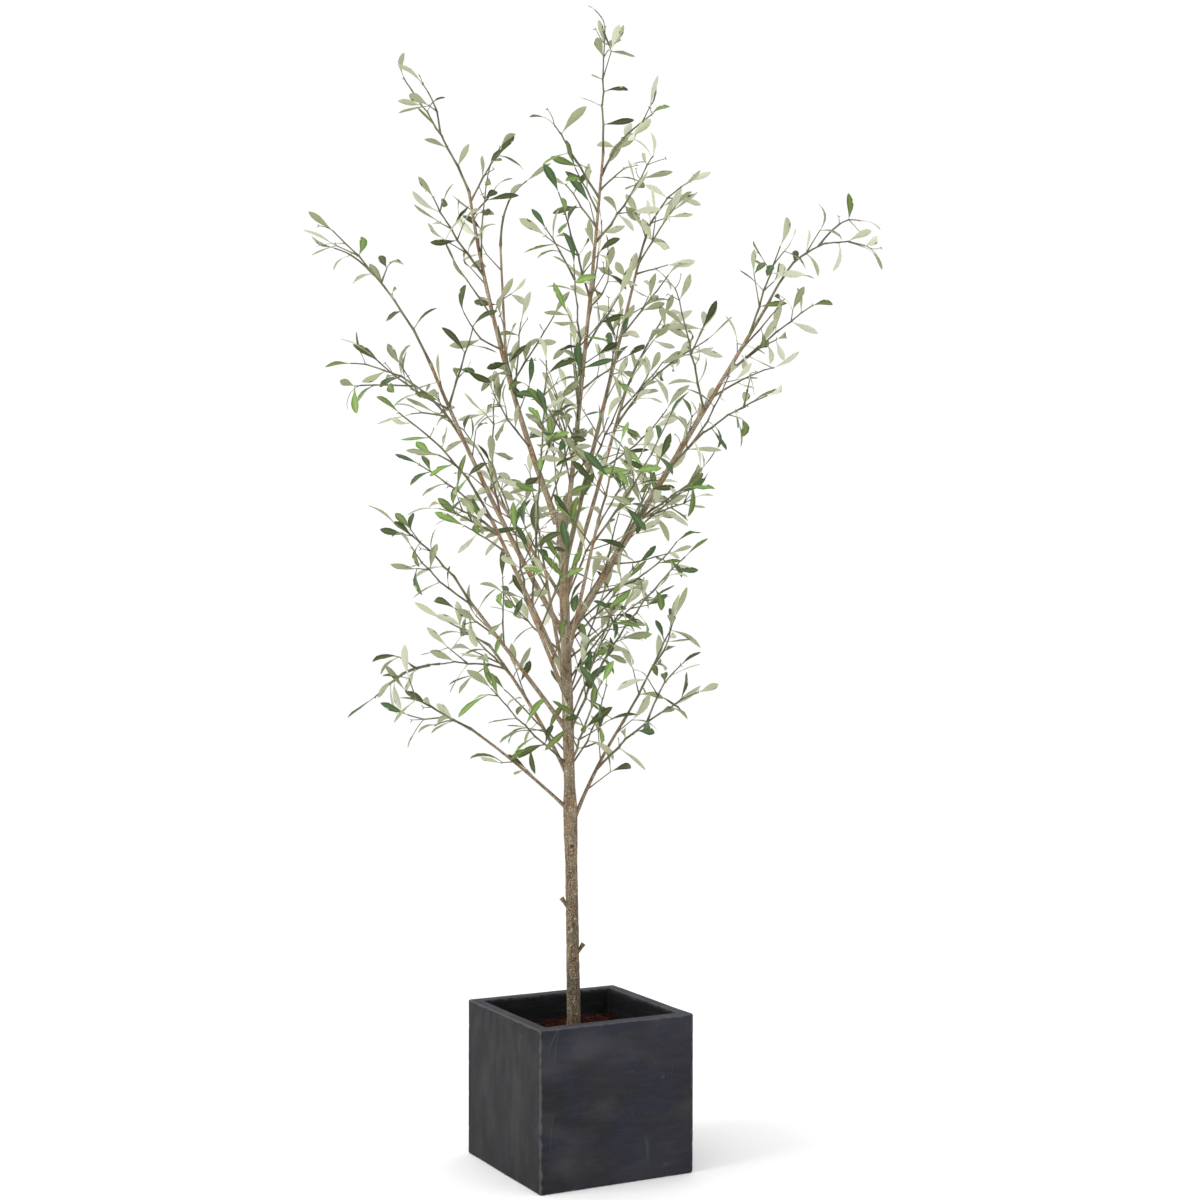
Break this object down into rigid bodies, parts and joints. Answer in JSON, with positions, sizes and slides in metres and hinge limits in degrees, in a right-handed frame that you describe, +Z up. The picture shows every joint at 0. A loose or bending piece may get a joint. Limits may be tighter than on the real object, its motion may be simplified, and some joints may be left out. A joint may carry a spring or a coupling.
{
  "type": "artificial olive tree in a square planter",
  "caption": "Slender artificial olive tree with upswept boughs and sparse leafy sprays, standing in a square charcoal fibre-clay planter filled with brown coir.",
  "frame": {"origin": "centre of the planter's flat underside", "axes": "+Z up along the trunk; the planter's sides run along X and Y, and the crown's broad side is turned 27.6 degrees clockwise from +X, seen from above"},
  "size_m": [1.0948, 0.8133, 2.0748],
  "materials": {
    "planter": "matt charcoal fibre clay with cloudy pale smudges and fine specks",
    "filling": "loose reddish-brown coir chips and fibres",
    "trunk_bark": "brown-grey bark stippled with pale flecks and dark specks",
    "bough_bark": "warm brown bark, turning green-grey on the thin stems",
    "foliage": "printed fabric leaves, green above and pale sage below"
  },
  "bodies": {
    "root": {"bough_back_left": "bough_bark", "bough_back_right": "bough_bark", "bough_front_left": "bough_bark", "bough_front_right": "bough_bark", "bough_high_left": "bough_bark", "bough_high_left_fork": "bough_bark", "bough_leader": "bough_bark", "bough_left_back": "bough_bark", "bough_long_right": "bough_bark", "bough_low_left_back": "bough_bark", "bough_lower_left": "bough_bark", "bough_lowest_left": "bough_bark", "bough_lowest_right": "bough_bark", "bough_mid_left": "bough_bark", "bough_right_back": "bough_bark", "bough_right_inner": "bough_bark", "bough_upper_left": "bough_bark", "foliage_back_left": "foliage", "foliage_back_right": "foliage", "foliage_crown_tip": "foliage", "foliage_front_left": "foliage", "foliage_front_right": "foliage", "foliage_high_left_fork": "foliage", "foliage_high_left_side": "foliage", "foliage_high_left_tip": "foliage", "foliage_leader_back": "foliage", "foliage_leader_front": "foliage", "foliage_leader_front_right": "foliage", "foliage_leader_upper_left": "foliage", "foliage_leader_upper_right": "foliage", "foliage_left_arch_far": "foliage", "foliage_left_arch_near": "foliage", "foliage_left_back_end": "foliage", "foliage_long_right_end": "foliage", "foliage_long_right_foot": "foliage", "foliage_long_right_inner": "foliage", "foliage_long_right_low": "foliage", "foliage_long_right_side": "foliage", "foliage_long_right_up": "foliage", "foliage_low_left_back_end": "foliage", "foliage_lower_left_end": "foliage", "foliage_lowest_left_end": "foliage", "foliage_lowest_right_end": "foliage", "foliage_lowest_right_side": "foliage", "foliage_mid_left_end": "foliage", "foliage_mid_left_front": "foliage", "foliage_mid_left_riser": "foliage", "foliage_right_back_end": "foliage", "foliage_right_back_side": "foliage", "foliage_right_inner_end": "foliage", "foliage_tip_left": "foliage", "foliage_tip_right": "foliage", "foliage_trunk_right_low": "foliage", "foliage_trunk_right_mid": "foliage", "foliage_upper_left_end": "foliage", "foliage_upper_left_front": "foliage", "foliage_upper_left_side": "foliage", "planter": "planter", "soil": "filling", "trunk": "trunk_bark"}
  },
  "joints": []
}
